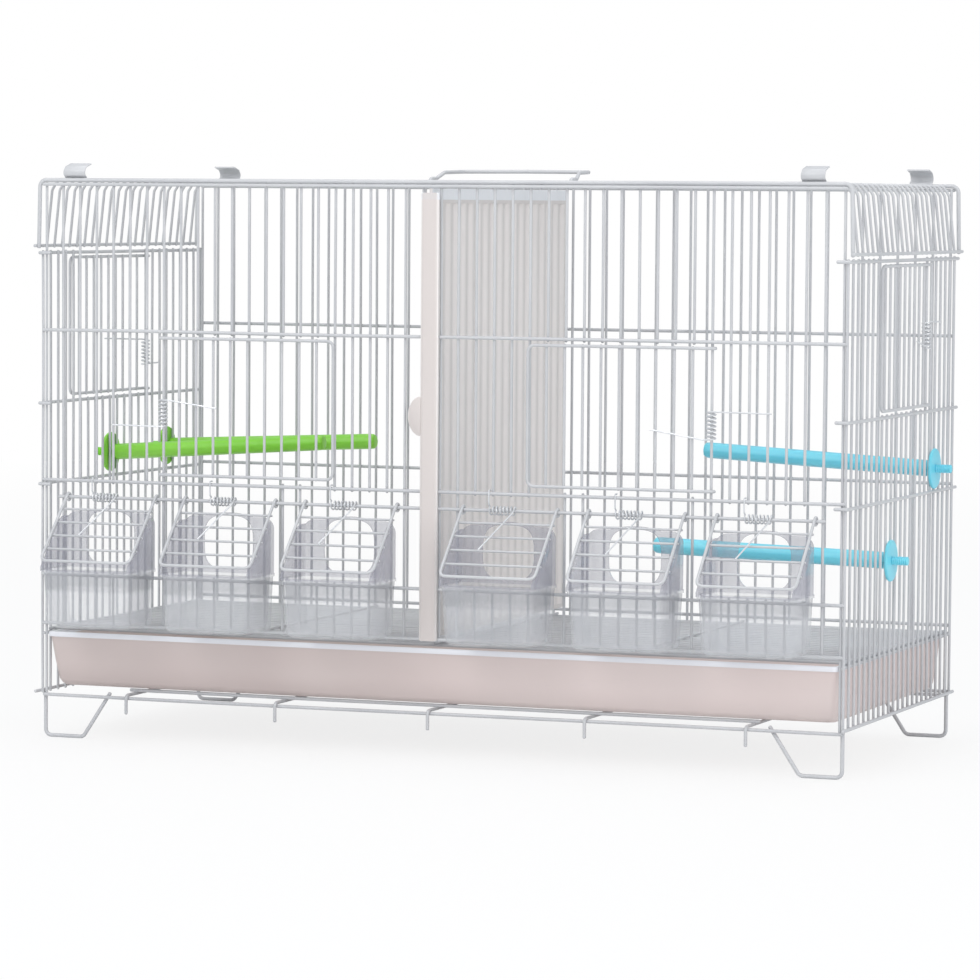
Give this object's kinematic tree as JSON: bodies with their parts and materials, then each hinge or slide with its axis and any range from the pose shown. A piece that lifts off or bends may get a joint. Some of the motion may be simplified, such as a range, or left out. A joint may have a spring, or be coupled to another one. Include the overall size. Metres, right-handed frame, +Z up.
{
  "type": "canary breeding cage",
  "caption": "Low wire breeding cage on four legs with a slide-in divider board, flap-covered clear feeder cups, sprung doors, perches, pull-out tray and carry handle.",
  "frame": {"origin": "centre of the whole cage's footprint on the floor, under its feet", "axes": "+Z up, -Y out of the front with its doors and feeders, +X to the right seen from the front"},
  "size_m": [0.6292, 0.3178, 0.412],
  "materials": {
    "wire": "pale grey-white powder coat, satin",
    "spring": "plated spring wire",
    "tray": "pinkish cream, satin",
    "divider": "pinkish cream, fine vertical ribs",
    "cup": "clear moulded plastic",
    "green": "bright green, satin",
    "blue": "bright light blue, satin"
  },
  "bodies": {
    "cage": {"front_panel": "wire", "back_panel": "wire", "left_side_panel": "wire", "right_side_panel": "wire", "top_panel": "wire", "base_frame": "wire", "floor_grate": "wire", "leg_front_left": "wire", "leg_front_right": "wire", "leg_back_left": "wire", "leg_back_right": "wire", "stacking_hook_front_left": "wire", "stacking_hook_front_right": "wire", "stacking_hook_back_left": "wire", "stacking_hook_back_right": "wire", "feeder_cup_1": "cup", "feeder_cup_2": "cup", "feeder_cup_3": "cup", "feeder_cup_4": "cup", "feeder_cup_5": "cup", "feeder_cup_6": "cup", "flap_spring_1": "spring", "flap_spring_2": "spring", "flap_spring_3": "spring", "flap_spring_4": "spring", "flap_spring_5": "spring", "flap_spring_6": "spring", "front_door_spring_left": "spring", "front_door_spring_right": "spring", "side_door_spring_left": "spring", "side_door_spring_right": "spring", "perch_green_front": "green", "perch_green_back": "green", "perch_blue_upper": "blue", "perch_blue_lower": "blue", "perch_green_front_nut": "green", "perch_green_back_nut": "green", "perch_blue_upper_nut": "blue", "perch_blue_lower_nut": "blue"},
    "tray": {"tray": "tray"},
    "divider": {"divider_board": "divider"},
    "carry_handle": {"carry_handle": "wire"},
    "front_door_left": {"front_door_left": "wire"},
    "front_door_right": {"front_door_right": "wire"},
    "side_door_left": {"side_door_left": "wire"},
    "side_door_right": {"side_door_right": "wire"},
    "feeder_flap_1": {"feeder_flap_1": "wire"},
    "feeder_flap_2": {"feeder_flap_2": "wire"},
    "feeder_flap_3": {"feeder_flap_3": "wire"},
    "feeder_flap_4": {"feeder_flap_4": "wire"},
    "feeder_flap_5": {"feeder_flap_5": "wire"},
    "feeder_flap_6": {"feeder_flap_6": "wire"}
  },
  "joints": [
    {"name": "tray_slide", "type": "slide", "parent": "cage", "child": "tray", "axis": [0, -1, 0], "range_m": [0, 0.24]},
    {"name": "divider_slide", "type": "slide", "parent": "cage", "child": "divider", "axis": [0, -1, 0], "range_m": [0, 0.25]},
    {"name": "handle_swing", "type": "hinge", "parent": "cage", "child": "carry_handle", "pos_m": [0, 0.02222, 0.4], "axis": [1, 0, 0], "range_deg": [0, 140]},
    {"name": "front_door_left_hinge", "type": "hinge", "parent": "cage", "child": "front_door_left", "pos_m": [-0.2046, -0.11088, 0.24025], "axis": [0, 0, -1], "range_deg": [0, 110], "stiffness_Nm_per_rad": 0.012, "springref_deg": -34.38, "deforming": ["front_door_spring_left"]},
    {"name": "front_door_right_hinge", "type": "hinge", "parent": "cage", "child": "front_door_right", "pos_m": [0.2046, -0.11088, 0.24025], "axis": [0, 0, 1], "range_deg": [0, 110], "stiffness_Nm_per_rad": 0.012, "springref_deg": -34.38, "deforming": ["front_door_spring_right"]},
    {"name": "side_door_left_hinge", "type": "hinge", "parent": "cage", "child": "side_door_left", "pos_m": [-0.2996, 0.05853, 0.29475], "axis": [0, 0, -1], "range_deg": [0, 110], "stiffness_Nm_per_rad": 0.012, "springref_deg": -34.38, "deforming": ["side_door_spring_left"]},
    {"name": "side_door_right_hinge", "type": "hinge", "parent": "cage", "child": "side_door_right", "pos_m": [0.2996, 0.08272, 0.29475], "axis": [0, 0, 1], "range_deg": [0, 110], "stiffness_Nm_per_rad": 0.012, "springref_deg": -34.38, "deforming": ["side_door_spring_right"]},
    {"name": "feeder_flap_1_hinge", "type": "hinge", "parent": "cage", "child": "feeder_flap_1", "pos_m": [-0.2442, -0.11088, 0.174], "axis": [-1, 0, 0], "range_deg": [0, 52], "stiffness_Nm_per_rad": 0.008, "springref_deg": -34.38, "deforming": ["flap_spring_1"]},
    {"name": "feeder_flap_2_hinge", "type": "hinge", "parent": "cage", "child": "feeder_flap_2", "pos_m": [-0.1518, -0.11088, 0.174], "axis": [-1, 0, 0], "range_deg": [0, 52], "stiffness_Nm_per_rad": 0.008, "springref_deg": -34.38, "deforming": ["flap_spring_2"]},
    {"name": "feeder_flap_3_hinge", "type": "hinge", "parent": "cage", "child": "feeder_flap_3", "pos_m": [-0.0594, -0.11088, 0.174], "axis": [-1, 0, 0], "range_deg": [0, 52], "stiffness_Nm_per_rad": 0.008, "springref_deg": -34.38, "deforming": ["flap_spring_3"]},
    {"name": "feeder_flap_4_hinge", "type": "hinge", "parent": "cage", "child": "feeder_flap_4", "pos_m": [0.0594, -0.11088, 0.174], "axis": [-1, 0, 0], "range_deg": [0, 52], "stiffness_Nm_per_rad": 0.008, "springref_deg": -34.38, "deforming": ["flap_spring_4"]},
    {"name": "feeder_flap_5_hinge", "type": "hinge", "parent": "cage", "child": "feeder_flap_5", "pos_m": [0.1518, -0.11088, 0.174], "axis": [-1, 0, 0], "range_deg": [0, 52], "stiffness_Nm_per_rad": 0.008, "springref_deg": -34.38, "deforming": ["flap_spring_5"]},
    {"name": "feeder_flap_6_hinge", "type": "hinge", "parent": "cage", "child": "feeder_flap_6", "pos_m": [0.2442, -0.11088, 0.174], "axis": [-1, 0, 0], "range_deg": [0, 52], "stiffness_Nm_per_rad": 0.008, "springref_deg": -34.38, "deforming": ["flap_spring_6"]}
  ]
}
